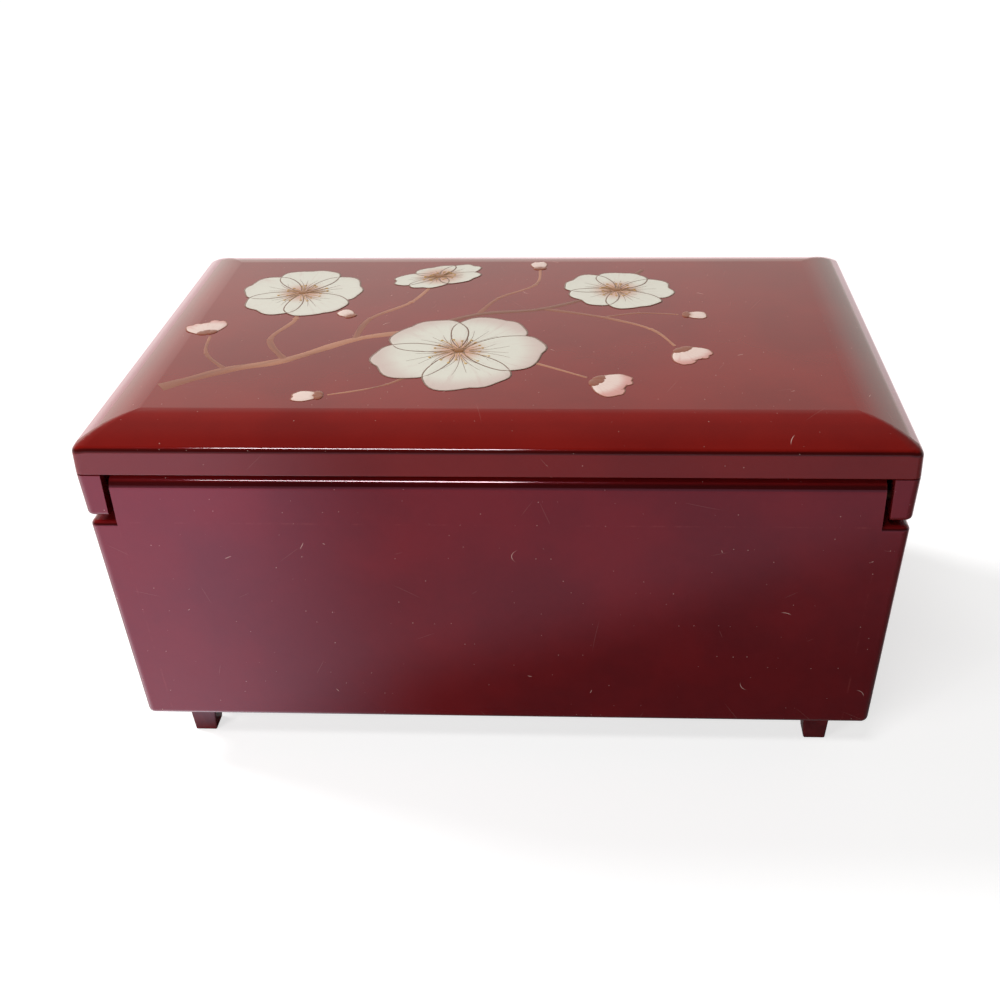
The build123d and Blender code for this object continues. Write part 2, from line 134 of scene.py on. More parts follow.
class NodeGraph:
    """Writes one node tree step by step, so that a finish reads as a list of steps."""

    def __init__(self, tree: Tree) -> None:
        """Keep the tree that the steps are added to."""
        self.tree = tree

    def node(self, kind: str, **settings: object) -> Node:
        """Add a node and set its properties.

        Args:
            kind: Blender's name of the node type.
            **settings: Properties of the node.

        Returns:
            The new node.
        """
        created = self.tree.nodes.new(kind)
        for name, value in settings.items():
            setattr(created, name, value)
        return created

    def feed(self, socket: Socket, source: object) -> None:
        """Link a socket to another one, or set it to a plain value."""
        if isinstance(source, Socket):
            self.tree.links.new(source, socket)
        else:
            socket.default_value = source

    def maths(self, operation: str, *terms: object, clamp: bool = False) -> Socket:
        """Add a Math node.

        Args:
            operation: The operation's name.
            *terms: Sockets or numbers, in order.
            clamp: Whether the result stays between zero and one.

        Returns:
            The result's socket.
        """
        created = self.node("ShaderNodeMath", operation=operation, use_clamp=clamp)
        for socket, term in zip(created.inputs, terms):
            self.feed(socket, term)
        return created.outputs[0]

    def times(self, first: object, second: object) -> Socket:
        """Multiply two sockets or numbers."""
        return self.maths("MULTIPLY", first, second)

    def scaled(self, vector: Socket, factor: object) -> Socket:
        """Scale a vector by a number or a socket."""
        created = self.node("ShaderNodeVectorMath", operation="SCALE")
        self.feed(created.inputs[0], vector)
        self.feed(created.inputs["Scale"], factor)
        return created.outputs[0]

    def vectors(self, operation: str, first: object, second: object = (0, 0, 0)) -> Socket:
        """Combine two vectors; a dot product or a length comes out as a value."""
        created = self.node("ShaderNodeVectorMath", operation=operation)
        self.feed(created.inputs[0], first)
        self.feed(created.inputs[1], second)
        return created.outputs["Value" if operation in ("DOT_PRODUCT", "LENGTH") else 0]

    def split(self, vector: Socket) -> tuple[Socket, Socket, Socket]:
        """Give the three components of a vector."""
        created = self.node("ShaderNodeSeparateXYZ")
        self.feed(created.inputs[0], vector)
        return tuple(created.outputs)

    def joined(self, across: object, up: object, depth: object = 0.0) -> Socket:
        """Make a vector of three components."""
        created = self.node("ShaderNodeCombineXYZ")
        for socket, term in zip(created.inputs, (across, up, depth)):
            self.feed(socket, term)
        return created.outputs[0]

    def remap(
        self, value: Socket, low: object, high: object, start: float = 0.0, end: float = 1.0,
    ) -> Socket:
        """Ease a value from one range into another.

        Args:
            value: The value to ease.
            low: Where the result begins to change.
            high: Where it stops changing.
            start: Result at low.
            end: Result at high.

        Returns:
            The eased value's socket.
        """
        created = self.node("ShaderNodeMapRange", interpolation_type="SMOOTHSTEP")
        for socket, term in zip(created.inputs, (value, low, high, start, end)):
            self.feed(socket, term)
        return created.outputs[0]

    def mix(self, factor: object, first: object, second: object) -> Socket:
        """Mix two colours."""
        created = self.node("ShaderNodeMix", data_type="RGBA")
        self.feed(created.inputs["Factor"], factor)
        self.feed(created.inputs[6], first)
        self.feed(created.inputs[7], second)
        return created.outputs[2]

    def noise(self, vector: Socket, period: object, detail: float = 3.0, rough: float = 0.5) -> Socket:
        """Add cloudy noise whose blots are about one period wide.

        Args:
            vector: Place in millimetres.
            period: Width of the largest blots in millimetres.
            detail: Number of finer layers.
            rough: Strength of the finer layers.

        Returns:
            Noise between zero and one.
        """
        created = self.node("ShaderNodeTexNoise")
        self.feed(created.inputs["Vector"], vector)
        self.feed(created.inputs["Scale"], self.maths("DIVIDE", 1.0, period))
        self.feed(created.inputs["Detail"], detail)
        self.feed(created.inputs["Roughness"], rough)
        return created.outputs["Fac"]

    def place(self) -> Socket:
        """Give the place on the piece in millimetres."""
        return self.scaled(self.node("ShaderNodeTexCoord").outputs["Object"], 1 / MM)

    def face_place(self) -> Socket:
        """Give the place in millimetres along the face: on a flat top X and Y, on a wall along and up."""
        across, deep, up = self.split(self.place())
        facing = self.split(self.node("ShaderNodeTexCoord").outputs["Normal"])[2]
        lies_flat = self.maths("GREATER_THAN", self.maths("ABSOLUTE", facing), 0.6)
        along = self.maths("MULTIPLY_ADD", deep, self.maths("SUBTRACT", 1.0, lies_flat), across)
        created = self.node("ShaderNodeMix", data_type="FLOAT")
        for number, term in ((0, lies_flat), (2, up), (3, deep)):
            self.feed(created.inputs[number], term)
        return self.joined(along, created.outputs[0])

    def shared(self, tree: Tree, **values: object) -> Node:
        """Place a shared group and set its inputs, whose names are written with underscores.

        Args:
            tree: The group.
            **values: Values or sockets for the group's inputs.

        Returns:
            The group's node.
        """
        created = self.node("ShaderNodeGroup", node_tree=tree)
        for name, value in values.items():
            self.feed(created.inputs[name.replace("_", " ").title()], value)
        return created

    def mask(self, tree: Tree, **values: object) -> Socket:
        """Place a shared group and give its mask."""
        return self.shared(tree, **values).outputs["Mask"]

    def give(self, **results: Socket) -> Tree:
        """End a group: make an output of each result, and give the group's tree."""
        for name, result in results.items():
            kind = "NodeSocketColor" if result.type == "RGBA" else "NodeSocketFloat"
            self.tree.interface.new_socket(name=name.title(), in_out="OUTPUT", socket_type=kind)
        leave = self.node("NodeGroupOutput")
        for name, result in results.items():
            self.feed(leave.inputs[name.title()], result)
        return self.tree

    def lay(self, shader: Node, **values: object) -> None:
        """Feed or set sockets of a shader, whose names are written with underscores."""
        for name, value in values.items():
            self.feed(next(s for s in shader.inputs if s.name.lower().replace(" ", "_") == name), value)

    def bump(self, height: Socket, depth: float) -> Socket:
        """Turn a height between zero and one into a normal; depth is in millimetres."""
        created = self.node("ShaderNodeBump")
        created.inputs["Distance"].default_value = depth * MM
        self.feed(created.inputs["Height"], height)
        return created.outputs["Normal"]


class SharedEffects:
    """Shader node groups that more than one finish uses, each built once."""

    def __init__(self) -> None:
        """Build every group."""
        self.specks = self.build_specks()
        self.strokes = self.build_strokes()
        self.edge_wear = self.build_edge_wear()
        self.clouding = self.build_clouding()
        self.pile = self.build_pile()
        self.brushwork = self.build_brushwork()

    @staticmethod
    def start(name: str, **inputs: float | Colour) -> tuple[NodeGraph, dict[str, Socket]]:
        """Make an empty group with its inputs.

        Args:
            name: The group's name.
            **inputs: Name of each input and its first value; four numbers make a colour.

        Returns:
            The group's graph, and the sockets that bring its inputs, by name.
        """
        tree = bpy.data.node_groups.new(name, "ShaderNodeTree")
        for label, value in inputs.items():
            kind = "NodeSocketColor" if isinstance(value, tuple) else "NodeSocketFloat"
            tree.interface.new_socket(
                name=label.title(), in_out="INPUT", socket_type=kind).default_value = value
        graph = NodeGraph(tree)
        entry = graph.node("NodeGroupInput")
        return graph, {s.name.lower(): s for s in entry.outputs if s.name}

    @staticmethod
    def cells(graph: NodeGraph, width: Socket) -> tuple[Socket, Socket]:
        """Scatter one point in each cell of the face.

        Args:
            graph: The group's graph.
            width: Width of a cell in millimetres.

        Returns:
            Offset from the nearest point in millimetres, and a random colour for that point.
        """
        place = graph.scaled(graph.face_place(), graph.maths("DIVIDE", 1.0, width))
        scatter = graph.node("ShaderNodeTexVoronoi", voronoi_dimensions="2D")
        graph.feed(scatter.inputs["Vector"], place)
        graph.feed(scatter.inputs["Scale"], 1.0)
        offset = graph.vectors("SUBTRACT", place, scatter.outputs["Position"])
        return graph.scaled(offset, width), scatter.outputs["Color"]

    def build_specks(self) -> Tree:
        """Build round specks of dust, of uneven size and spacing."""
        graph, given = self.start("Dust Specks", cell=4.0, size=0.15, share=0.3)
        offset, chance = self.cells(graph, given["cell"])
        size_chance, share_chance, _ = graph.split(chance)
        distance = graph.vectors("LENGTH", offset)
        radius = graph.times(given["size"], graph.maths("ADD", size_chance, 0.3))
        dot = graph.remap(distance, graph.times(radius, 0.5), radius, 1.0, 0.0)
        kept = graph.maths("LESS_THAN", share_chance, given["share"])
        return graph.give(mask=graph.times(dot, kept))

    def build_strokes(self) -> Tree:
        """Build short curved strokes, which are lint when curved and scratches when straight."""
        graph, given = self.start("Lint Strokes", cell=24.0, length=2.0, width=0.08, bend=0.3, share=0.4)
        offset, chance = self.cells(graph, given["cell"])
        turn_chance, share_chance, bend_chance = graph.split(chance)
        turned = graph.node("ShaderNodeVectorRotate", rotation_type="Z_AXIS")
        graph.feed(turned.inputs["Vector"], offset)
        graph.feed(turned.inputs["Angle"], graph.times(turn_chance, tau))
        along, across, _ = graph.split(turned.outputs[0])
        bend = graph.times(given["bend"], graph.maths("SUBTRACT", bend_chance, 0.5))
        curve = graph.times(bend, graph.times(along, along))
        gap = graph.maths("ABSOLUTE", graph.maths("SUBTRACT", across, curve))
        reach = graph.times(given["length"], graph.maths("ADD", bend_chance, 0.2))
        line = graph.remap(gap, graph.times(given["width"], 0.3), given["width"], 1.0, 0.0)
        tip = graph.remap(graph.maths("ABSOLUTE", along), graph.times(reach, 0.3), reach, 1.0, 0.0)
        kept = graph.maths("LESS_THAN", share_chance, given["share"])
        return graph.give(mask=graph.times(graph.times(line, tip), kept))

    def build_edge_wear(self) -> Tree:
        """Build broken wear along a piece's edges."""
        graph, given = self.start("Edge Wear", patch=6.0, amount=0.5)
        softened = graph.node("ShaderNodeBevel", samples=6)
        softened.inputs["Radius"].default_value = 0.6 * MM
        facing = graph.node("ShaderNodeNewGeometry").outputs["Normal"]
        sameness = graph.vectors("DOT_PRODUCT", softened.outputs[0], facing)
        edge = graph.remap(sameness, 0.99, 0.9)
        patches = graph.remap(graph.noise(graph.place(), given["patch"], 5.0, 0.7), 0.45, 0.7)
        worn = graph.times(edge, patches)
        return graph.give(mask=graph.maths("MULTIPLY", worn, given["amount"], clamp=True))

    def build_clouding(self) -> Tree:
        """Build the uneven depth of a rubbed surface: two tones in clouds, smudges and a faint ripple."""
        graph, given = self.start("Rubbed Clouding", tone=WHITE, shade=BLACK, cloud=30.0, ripple=5.0)
        place = graph.place()
        clouds = graph.remap(graph.noise(place, given["cloud"], 3.0, 0.55), 0.3, 0.7)
        grain = graph.noise(place, graph.maths("DIVIDE", given["cloud"], 12.0), 4.0, 0.6)
        depth = graph.maths("MULTIPLY_ADD", grain, 0.3, graph.times(clouds, 0.7))
        smudges = graph.noise(place, graph.maths("DIVIDE", given["cloud"], 3.0), 4.0, 0.65)
        return graph.give(
            color=graph.mix(depth, given["tone"], given["shade"]), smudge=graph.remap(smudges, 0.5, 0.75),
            height=graph.noise(place, given["ripple"], 2.0, 0.5))

    def build_pile(self) -> Tree:
        """Build a short pile that lies in brushed patches."""
        graph, given = self.start("Fabric Pile", tone=WHITE, shade=BLACK, nap=9.0, fibre=0.22)
        place = graph.place()
        brushed = graph.remap(graph.noise(place, given["nap"], 4.0, 0.6), 0.35, 0.65)
        tuft = graph.noise(place, given["fibre"], 2.0, 0.7)
        lean = graph.maths("MULTIPLY_ADD", tuft, 0.55, graph.times(brushed, 0.45))
        return graph.give(
            color=graph.mix(lean, given["shade"], given["tone"]),
            height=graph.maths("MULTIPLY_ADD", brushed, 0.25, tuft))

    def build_brushwork(self) -> Tree:
        """Build paint laid in strokes that run out from the piece's own origin."""
        graph, given = self.start("Brushwork", heart=BLACK, tone=WHITE, tip=WHITE, reach=10.0, streak=0.5)
        across, deep, _ = graph.split(graph.place())
        distance = graph.vectors("LENGTH", graph.joined(across, deep))
        share = graph.maths("DIVIDE", distance, given["reach"])
        angle = graph.maths("ARCTAN2", deep, across)
        turned = graph.times(graph.maths("SINE", graph.times(angle, 0.5)), 26.0)
        streaks = graph.noise(graph.joined(turned, graph.times(share, 1.6)), 1.0, 4.0, 0.65)
        body = graph.mix(graph.remap(share, 0.1, 0.42), given["heart"], given["tone"])
        tipped = graph.mix(graph.times(graph.remap(share, 0.72, 1.05), 0.8), body, given["tip"])
        streak_mask = graph.times(graph.remap(streaks, 0.5, 0.72), given["streak"])
        return graph.give(color=graph.mix(streak_mask, tipped, given["tip"]), height=streaks)


def new_material(name: str) -> tuple[Material, NodeGraph, Node]:
    """Make a material that holds one Principled shader.

    Args:
        name: The material's name.

    Returns:
        The material, its graph and its shader node.
    """
    material = bpy.data.materials.new(name)
    material.use_nodes = True
    graph = NodeGraph(material.node_tree)
    return material, graph, material.node_tree.nodes["Principled BSDF"]


@dataclass(frozen=True)
class Lacquer:
    """High-gloss lacquer over a deep colour, with dust, lint and a few rubbing marks.

    The colour's depth is painted shade by how far a face looks up or to an end: walls and the lid's slope are
    painted darker, and the lower part of a rounded edge gets a near-black painted shade for a dark
    reflection.
    lying, level, the edge shade's start and end and the endward shade edge are ranges of that share, from 0
    for a wall to 1 for the flat top.
    """

    name: str
    tone: Levels
    shade: Levels
    gloss_tint: Colour = WHITE
    gloss_level: float = 0.16
    roughness: float = 0.1
    side_coat: float = 0.15
    # painted shade: share of the colour kept on walls, on the lid's slope and at the lower part of rounded
    # edges, and that edge's dark tone
    side_painted_shade: float = 1.0
    slope_painted_shade: float = 1.0
    edge_painted_shade: float = 0.75
    edge_painted_shade_tone: Levels = (30, 5, 6)
    worn_tone: Levels = (176, 92, 84)
    dust_tone: Levels = (226, 196, 184)
    # lying (which also sets the coat) and level place the painted shade of walls and of the lid's slope; the
    # edge ranges place the edge's painted shade
    lying: Range = (0.25, 0.85)
    level: Range = (0.95, 0.995)
    edge_shade_start: Range = (0.04, 0.25)
    edge_shade_end: Range = (0.5, 0.76)
    endward_shade_edge: Range = (0.25, 0.6)
    cloud: float = 34.0
    dust_share: float = 0.25
    lint_share: float = 0.45
    wear: float = 0.16

    def make(self, effects: SharedEffects) -> Material:
        """Build the material.

        Args:
            effects: The shared groups.

        Returns:
            The finished material.
        """
        material, graph, shader = new_material(self.name)
        clouding = graph.shared(
            effects.clouding, tone=linear(*self.tone), shade=linear(*self.shade), cloud=self.cloud,
            ripple=7.0)
        specks = graph.mask(effects.specks, cell=3.4, size=0.13, share=self.dust_share)
        lint = graph.mask(effects.strokes, cell=21.0, length=1.7, width=0.11, bend=0.7, share=self.lint_share)
        scratches = graph.mask(effects.strokes, cell=13.0, length=5.0, width=0.05, bend=0.01, share=0.25)
        wear = graph.mask(effects.edge_wear, patch=5.0, amount=self.wear)
        _, endward, upward = graph.split(graph.node("ShaderNodeTexCoord").outputs["Normal"])
        lies_up = graph.remap(upward, *self.lying)
        # painted shade: the colour is darkened on walls and on the lid's slope by how they face
        depth = graph.times(graph.remap(lies_up, 0.0, 1.0, self.side_painted_shade, 1.0),
                            graph.remap(upward, *self.level, self.slope_painted_shade, 1.0))
        tone = graph.scaled(clouding.outputs["Color"], depth)
        # painted shade: the lower part of a rounded edge is darkened towards a near-black tone, a painted
        # dark reflection
        edge_shade_mask = graph.times(
            graph.remap(upward, *self.edge_shade_start), graph.remap(upward, *self.edge_shade_end, 1.0, 0.0))
        edge_shade_mask = graph.times(edge_shade_mask, graph.remap(graph.maths("ABSOLUTE", endward), *self.endward_shade_edge))
        painted_edge_shade = graph.mix(graph.times(edge_shade_mask, self.edge_painted_shade), tone, linear(*self.edge_painted_shade_tone))
        litter = graph.maths("MAXIMUM", graph.times(specks, 0.45), graph.times(lint, 0.6))
        marked = graph.maths("MAXIMUM", litter, graph.times(scratches, 0.12))
        worn = graph.mix(wear, painted_edge_shade, linear(*self.worn_tone))
        smudged = graph.maths("MULTIPLY_ADD", clouding.outputs["Smudge"], 0.07, self.roughness)
        polish = graph.remap(lies_up, 0.0, 1.0, self.side_coat, 1.0)
        graph.lay(
            shader, base_color=graph.mix(marked, worn, linear(*self.dust_tone)),
            roughness=graph.maths("MULTIPLY_ADD", marked, 0.5, smudged, clamp=True),
            coat_weight=graph.times(polish, graph.maths("SUBTRACT", 1.0, litter)),
            normal=graph.bump(clouding.outputs["Height"], 0.012), ior=1.5,
            specular_ior_level=self.gloss_level, specular_tint=self.gloss_tint, coat_ior=1.5,
            coat_roughness=0.03)
        return material


@dataclass(frozen=True)
class Velvet:
    """Short pile fabric that brightens at a grazing angle and lies in brushed patches."""

    name: str
    tone: Levels
    shade: Levels
    nap: float = 9.0
    fibre: float = 0.2
    sheen: float = 0.6
    sheen_tone: Levels = (236, 130, 130)
    dust_tone: Levels = (190, 160, 156)

    def make(self, effects: SharedEffects) -> Material:
        """Build the material.

        Args:
            effects: The shared groups.

        Returns:
            The finished material.
        """
        material, graph, shader = new_material(self.name)
        pile = graph.shared(
            effects.pile, tone=linear(*self.tone), shade=linear(*self.shade), nap=self.nap,
            fibre=self.fibre)
        specks = graph.mask(effects.specks, cell=5.0, size=0.12, share=0.2)
        graph.lay(
            shader,
            base_color=graph.mix(graph.times(specks, 0.5), pile.outputs["Color"], linear(*self.dust_tone)),
            normal=graph.bump(pile.outputs["Height"], 0.06), roughness=0.92, specular_ior_level=0.15,
            sheen_weight=self.sheen, sheen_roughness=0.35, sheen_tint=linear(*self.sheen_tone))
        return material


@dataclass(frozen=True)
class Metal:
    """Bare metal with rubbing marks and dust."""

    name: str
    tone: Levels
    shade: Levels
    roughness: float
    cloud: float = 4.0

    def make(self, effects: SharedEffects) -> Material:
        """Build the material.

        Args:
            effects: The shared groups.

        Returns:
            The finished material.
        """
        material, graph, shader = new_material(self.name)
        clouding = graph.shared(
            effects.clouding, tone=linear(*self.tone), shade=linear(*self.shade), cloud=self.cloud,
            ripple=3.0)
        scratches = graph.mask(effects.strokes, cell=6.0, length=3.0, width=0.03, bend=0.02, share=0.4)
        specks = graph.mask(effects.specks, cell=5.0, size=0.12, share=0.25)
        smudged = graph.maths("MULTIPLY_ADD", clouding.outputs["Smudge"], 0.05, self.roughness)
        marks = graph.maths("MAXIMUM", graph.times(scratches, 0.25), specks)
        graph.lay(
            shader, base_color=clouding.outputs["Color"], metallic=1.0,
            roughness=graph.maths("MULTIPLY_ADD", marks, 0.4, smudged, clamp=True))
        return material


@dataclass(frozen=True)
class BrushPaint:
    """Enamel paint laid by brush over the lacquer, its strokes running out from the piece's origin."""

    name: str
    heart: Levels
    tone: Levels
    tip: Levels
    reach: float
    streak: float = 0.5
    metallic: float = 0.0

    def make(self, effects: SharedEffects) -> Material:
        """Build the material.

        Args:
            effects: The shared groups.

        Returns:
            The finished material.
        """
        material, graph, shader = new_material(self.name)
        strokes = graph.shared(
            effects.brushwork, heart=linear(*self.heart), tone=linear(*self.tone), tip=linear(*self.tip),
            reach=self.reach, streak=self.streak)
        graph.lay(
            shader, base_color=strokes.outputs["Color"], normal=graph.bump(strokes.outputs["Height"], 0.02),
            roughness=0.32, metallic=self.metallic, coat_weight=0.35, coat_roughness=0.06)
        return material


class Finishes:
    """Every finish of the box, built once and shared by its pieces."""

    def __init__(self) -> None:
        """Build the shared groups and the materials."""
        effects = SharedEffects()
        purple_gloss = (0.85, 0.62, 1.0, 1.0)
        rose_gloss = (0.92, 0.68, 0.92, 1.0)
        wine_gloss = (1.0, 0.42, 0.62, 1.0)
        # the lid's walls and slope take painted shade
        self.lid_lacquer = Lacquer(
            "lid_lacquer_red", (134, 24, 18), (116, 18, 15), rose_gloss, side_painted_shade=0.857, slope_painted_shade=0.84,
            dust_share=0.16, lint_share=0.35).make(effects)
        self.case_lacquer = Lacquer(
            "case_lacquer_red", (106, 15, 16), (82, 10, 12), wine_gloss, gloss_level=0.4, side_coat=0.0,
            dust_share=0.14, lint_share=0.35).make(effects)
        self.foot_lacquer = Lacquer(
            "foot_lacquer_red", (116, 34, 36), (66, 14, 16), purple_gloss, cloud=7.0, wear=0.6).make(effects)
        self.base_lacquer = Lacquer(
            "base_lacquer_dark", (70, 12, 12), (48, 9, 10), roughness=0.3, lint_share=0.2).make(effects)
        self.velvet = Velvet("crimson_velvet", (132, 14, 30), (78, 6, 16)).make(effects)
        self.cord = Velvet(
            "crimson_cord", (150, 24, 40), (96, 10, 20), nap=1.4, fibre=0.3, sheen=0.3).make(effects)
        self.felt = Velvet(
            "dark_felt", (58, 12, 16), (34, 8, 10), nap=2.0, fibre=0.12, sheen=0.2).make(effects)
        self.brass = Metal("dull_brass", (46, 34, 24), (30, 22, 16), 0.5).make(effects)
        self.silvering = Metal(
            "silvered_glass", (236, 238, 238), (226, 230, 231), 0.02, cloud=60.0).make(effects)
        self.petal = BrushPaint(
            "ivory_petal_paint", (198, 150, 130), (216, 213, 200), (200, 176, 168), reach=21.0).make(effects)
        self.bud = BrushPaint(
            "blush_bud_paint", (150, 96, 62), (226, 202, 192), (205, 140, 132), reach=9.0).make(effects)
        self.outline = BrushPaint(
            "pewter_line_paint", (124, 92, 74), (138, 112, 98), (150, 124, 104), reach=60.0,
            metallic=0.25).make(effects)
        self.twig = BrushPaint(
            "brown_gold_twig_paint", (146, 84, 62), (176, 116, 88), (116, 62, 48), reach=80.0, streak=0.8,
            metallic=0.1).make(effects)
        self.stamen = BrushPaint(
            "gold_stamen_paint", (150, 92, 40), (196, 150, 84), (222, 186, 120), reach=8.0,
            metallic=0.4).make(effects)


def dress(node: Piece, material: Material) -> None:
    """Give a node of the frame its finish."""
    for material_slot in node.material_slots:
        material_slot.material = material


def hand_over(piece: Piece, body: Body) -> Piece:
    """Let a new piece ride on its body and report it.

    Args:
        piece: The new piece.
        body: The body that it moves with.

    Returns:
        The same piece.
    """
    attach(piece, body.value)
    log.info("%s rides on %s with %d faces", piece.name, body.value, len(piece.data.polygons))
    return piece


def mesh_piece(name: str, form: Form, material: Material, origin: Vector) -> Piece:
    """Make an object of a form whose points are metres from the given origin.

    Args:
        name: The piece's name.
        form: The form, which is freed.
        material: Its finish.
        origin: The piece's own origin in the frame.

    Returns:
        The new object.
    """
    bmesh.ops.recalc_face_normals(form, faces=form.faces)
    mesh = bpy.data.meshes.new(name)
    form.to_mesh(mesh)
    form.free()
    mesh.shade_smooth()
    mesh.set_sharp_from_angle(angle=radians(50))
    mesh.materials.append(material)
    piece = bpy.data.objects.new(name, mesh)
    piece.location = origin
    bpy.context.scene.collection.objects.link(piece)
    return piece


def bridge(form: Form, first: list[FormPoint], second: list[FormPoint]) -> None:
    """Join two closed rings of points by faces."""
    for index in range(len(first)):
        follow = (index + 1) % len(first)
        form.faces.new((first[index], first[follow], second[follow], second[index]))


def turned(centre: Point, along: float, across: float, turn: float) -> Point:
    """Give the point at a distance along a direction and at another across it."""
    return (centre[0] + along * cos(turn) - across * sin(turn),
            centre[1] + along * sin(turn) + across * cos(turn))


def polar(centre: Point, reach: float, turn: float) -> Point:
    """Give the point at a distance and in a direction from another."""
    return centre[0] + reach * cos(turn), centre[1] + reach * sin(turn)


def circle(centre: Point, radius: float, count: int, flat: float = 1.0) -> list[Point]:
    """Give points round a circle, or round an oval that is flat times as deep."""
    turns = [tau * k / count for k in range(count)]
    return [(centre[0] + radius * cos(turn), centre[1] + radius * flat * sin(turn)) for turn in turns]


class PaintLayer:
    """Thin raised paint on the lid's flat top, gathered into one piece."""

    def __init__(self, centre: Point, top_z: float) -> None:
        """Start an empty layer.

        Args:
            centre: The piece's origin on the lid in millimetres.
            top_z: Height of the lid's top in metres.
        """
        self.form = bmesh.new()
        self.origin = Vector((centre[0] * MM, centre[1] * MM, top_z))

    def spot(self, point: Point, height: float) -> FormPoint:
        """Add one point, given in millimetres on the lid and above its top."""
        place = Vector((point[0] * MM, point[1] * MM, height * MM))
        return self.form.verts.new(place - Vector((self.origin.x, self.origin.y, 0)))

    def patch(self, outline: list[Point], relief: Relief, lift: float = 0.0, sunk: float = 0.05) -> None:
        """Add a closed patch that is raised over its outline.

        Args:
            outline: Points round the patch.
            relief: Its raised form.
            lift: Height of the form's foot above the lid.
            sunk: How far the patch reaches into the lacquer.
        """
        mid_x, mid_y = (sum(column) / len(outline) for column in zip(*outline))

        def ring(share: float, height: float) -> list[FormPoint]:
            """Add the outline once more, shrunk to a share and raised."""
            return [self.spot((mid_x + (x - mid_x) * share, mid_y + (y - mid_y) * share), height)
                    for x, y in outline]

        loops = [ring(1.0, -sunk)] + [ring(share, lift + height) for share, height in relief.value]
        for lower, upper in zip(loops, loops[1:]):
            bridge(self.form, lower, upper)
        self.form.faces.new(loops[0][::-1])
        self.form.faces.new(loops[-1])

    def line(
        self, points: list[Point], widths: list[float], lift: float, height: float, closed: bool = False,
    ) -> None:
        """Add a half-round line of paint.

        Args:
            points: Points along the line.
            widths: Width at each point.
            lift: Height of the line's foot above the lid.
            height: Height of its crest above its foot.
            closed: Whether the line returns to its start.
        """
        count = len(points)
        profile = ((-1.0, -0.4), (-1.0, 0.0), (-0.6, 0.75), (0.0, 1.0), (0.6, 0.75), (1.0, 0.0), (1.0, -0.4))
        sections = []
        for index, (x, y) in enumerate(points):
            before = points[(index - 1) % count] if closed or index > 0 else points[index]
            after = points[(index + 1) % count] if closed or index < count - 1 else points[index]
            run = hypot(after[0] - before[0], after[1] - before[1])
            side = (-(after[1] - before[1]) / run, (after[0] - before[0]) / run)
            half = widths[index] / 2
            sections.append([
                self.spot((x + side[0] * half * across, y + side[1] * half * across), lift + height * up)
                for across, up in profile])
        pairs = list(zip(sections, sections[1:])) + ([(sections[-1], sections[0])] if closed else [])
        for first, second in pairs:
            bridge(self.form, first, second)
        if not closed:
            self.form.faces.new(sections[0])
            self.form.faces.new(sections[-1][::-1])

    def finish(self, name: str, material: Material) -> Piece:
        """Make the piece and hand it to the lid."""
        return hand_over(mesh_piece(name, self.form, material, self.origin), Body.LID)


def smooth_path(points: list[Point], steps: int = 8) -> list[Point]:
    """Run a smooth curve through given points.

    Args:
        points: Points that the curve passes.
        steps: Number of stretches between two of them.

    Returns:
        Points along the curve.
    """
    ends = [points[0]] + points + [points[-1]]
    path = []
    for first, second, third, fourth in zip(ends, ends[1:], ends[2:], ends[3:]):
        for step in range(steps):
            t = step / steps
            path.append(tuple(
                0.5 * (2 * b + (c - a) * t + (2 * a - 5 * b + 4 * c - d) * t ** 2
                       + (3 * b - a - 3 * c + d) * t ** 3)
                for a, b, c, d in zip(first, second, third, fourth)))
    return path + [points[-1]]


@dataclass(frozen=True)
class Blossom:
    """One open blossom of round petals."""

    centre: Point
    radius: float
    turn: float
    squeeze: float = 1.0
    lean: float = 0.0

    def squeezed(self, points: list[Point]) -> list[Point]:
        """Narrow points across one direction, as a blossom looks that is turned away."""
        def moved(point: Point) -> Point:
            """Narrow one point."""
            x, y = point[0] - self.centre[0], point[1] - self.centre[1]
            along = x * cos(self.lean) + y * sin(self.lean)
            across = (y * cos(self.lean) - x * sin(self.lean)) * self.squeeze
            return turned(self.centre, along, across, self.lean)

        return [moved(point) for point in points]


@dataclass(frozen=True)
class Bud:
    """One bud at the end of a twig."""

    centre: Point
    length: float
    turn: float
    petals: int = 1


@dataclass(frozen=True)
class Twig:
    """One painted branch or twig, thick at its start and thin at its end."""

    points: tuple[Point, ...]
    start_width: float
    end_width: float


